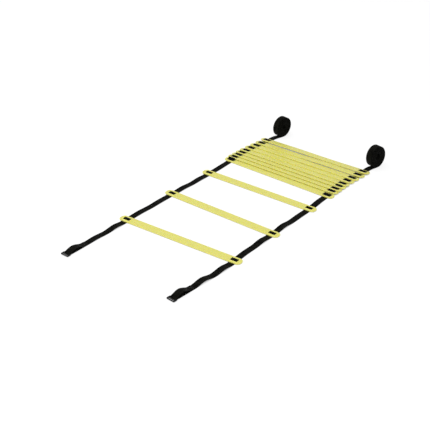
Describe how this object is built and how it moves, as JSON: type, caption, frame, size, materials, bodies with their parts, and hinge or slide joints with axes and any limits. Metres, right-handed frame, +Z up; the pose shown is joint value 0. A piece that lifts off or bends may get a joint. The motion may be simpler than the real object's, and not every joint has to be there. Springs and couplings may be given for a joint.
{
  "type": "agility ladder",
  "caption": "Training ladder for the floor: flat plastic rungs slide along webbing straps; some are spread, the rest bunched, and both strap tails are wound up.",
  "frame": {"origin": "on the floor, under the middle of the bounding box", "axes": "+Y along the ladder from the end slides to the wound tails, +X across it to the right, +Z up"},
  "size_m": [0.5188, 1.2804, 0.0915],
  "materials": {
    "rung_plastic": "satin moulded yellow plastic",
    "webbing": "woven black webbing",
    "slide_plastic": "satin moulded black plastic"
  },
  "bodies": {
    "straps": {"left_strap": "webbing", "right_strap": "webbing", "left_strap_roll": "webbing", "right_strap_roll": "webbing"},
    "rung_01": {"rung_01": "rung_plastic"},
    "rung_02": {"rung_02": "rung_plastic"},
    "rung_03": {"rung_03": "rung_plastic"},
    "rung_04": {"rung_04": "rung_plastic"},
    "rung_05": {"rung_05": "rung_plastic"},
    "rung_06": {"rung_06": "rung_plastic"},
    "rung_07": {"rung_07": "rung_plastic"},
    "rung_08": {"rung_08": "rung_plastic"},
    "rung_09": {"rung_09": "rung_plastic"},
    "rung_10": {"rung_10": "rung_plastic"},
    "rung_11": {"rung_11": "rung_plastic"},
    "rung_12": {"rung_12": "rung_plastic"},
    "left_slide": {"left_end_slide": "slide_plastic"},
    "right_slide": {"right_end_slide": "slide_plastic"}
  },
  "joints": [
    {"name": "rung_01_travel", "type": "slide", "parent": "straps", "child": "rung_01", "axis": [0, 1, 0], "range_m": [-0.165, 0.165], "deforming": ["left_strap", "right_strap"]},
    {"name": "rung_02_travel", "type": "slide", "parent": "straps", "child": "rung_02", "axis": [0, 1, 0], "range_m": [-0.165, 0.165], "deforming": ["left_strap", "right_strap"]},
    {"name": "rung_03_travel", "type": "slide", "parent": "straps", "child": "rung_03", "axis": [0, 1, 0], "range_m": [-0.165, 0.08], "deforming": ["left_strap", "right_strap"]},
    {"name": "rung_12_travel", "type": "slide", "parent": "straps", "child": "rung_12", "axis": [0, 1, 0], "range_m": [-0.02, 0], "deforming": ["left_strap", "right_strap"]},
    {"name": "rung_11_travel", "type": "slide", "parent": "rung_12", "child": "rung_11", "axis": [0, 1, 0], "range_m": [-0.018, 0], "deforming": ["left_strap", "right_strap"]},
    {"name": "rung_10_travel", "type": "slide", "parent": "rung_11", "child": "rung_10", "axis": [0, 1, 0], "range_m": [-0.018, 0], "deforming": ["left_strap", "right_strap"]},
    {"name": "rung_09_travel", "type": "slide", "parent": "rung_10", "child": "rung_09", "axis": [0, 1, 0], "range_m": [-0.018, 0], "deforming": ["left_strap", "right_strap"]},
    {"name": "rung_08_travel", "type": "slide", "parent": "rung_09", "child": "rung_08", "axis": [0, 1, 0], "range_m": [-0.018, 0], "deforming": ["left_strap", "right_strap"]},
    {"name": "rung_07_travel", "type": "slide", "parent": "rung_08", "child": "rung_07", "axis": [0, 1, 0], "range_m": [-0.018, 0], "deforming": ["left_strap", "right_strap"]},
    {"name": "rung_06_travel", "type": "slide", "parent": "rung_07", "child": "rung_06", "axis": [0, 1, 0], "range_m": [-0.018, 0], "deforming": ["left_strap", "right_strap"]},
    {"name": "rung_05_travel", "type": "slide", "parent": "rung_06", "child": "rung_05", "axis": [0, 1, 0], "range_m": [-0.018, 0], "deforming": ["left_strap", "right_strap"]},
    {"name": "rung_04_travel", "type": "slide", "parent": "rung_05", "child": "rung_04", "axis": [0, 1, 0], "range_m": [-0.075, 0], "deforming": ["left_strap", "right_strap"]},
    {"name": "left_slide_swing", "type": "hinge", "parent": "straps", "child": "left_slide", "pos_m": [-0.22615, -0.62472, 0.00339], "axis": [-1, 0, 0], "range_deg": [-6, 120]},
    {"name": "right_slide_swing", "type": "hinge", "parent": "straps", "child": "right_slide", "pos_m": [0.20868, -0.60025, 0.00339], "axis": [-0.9969, 0.0785, 0], "range_deg": [-6, 120]}
  ]
}
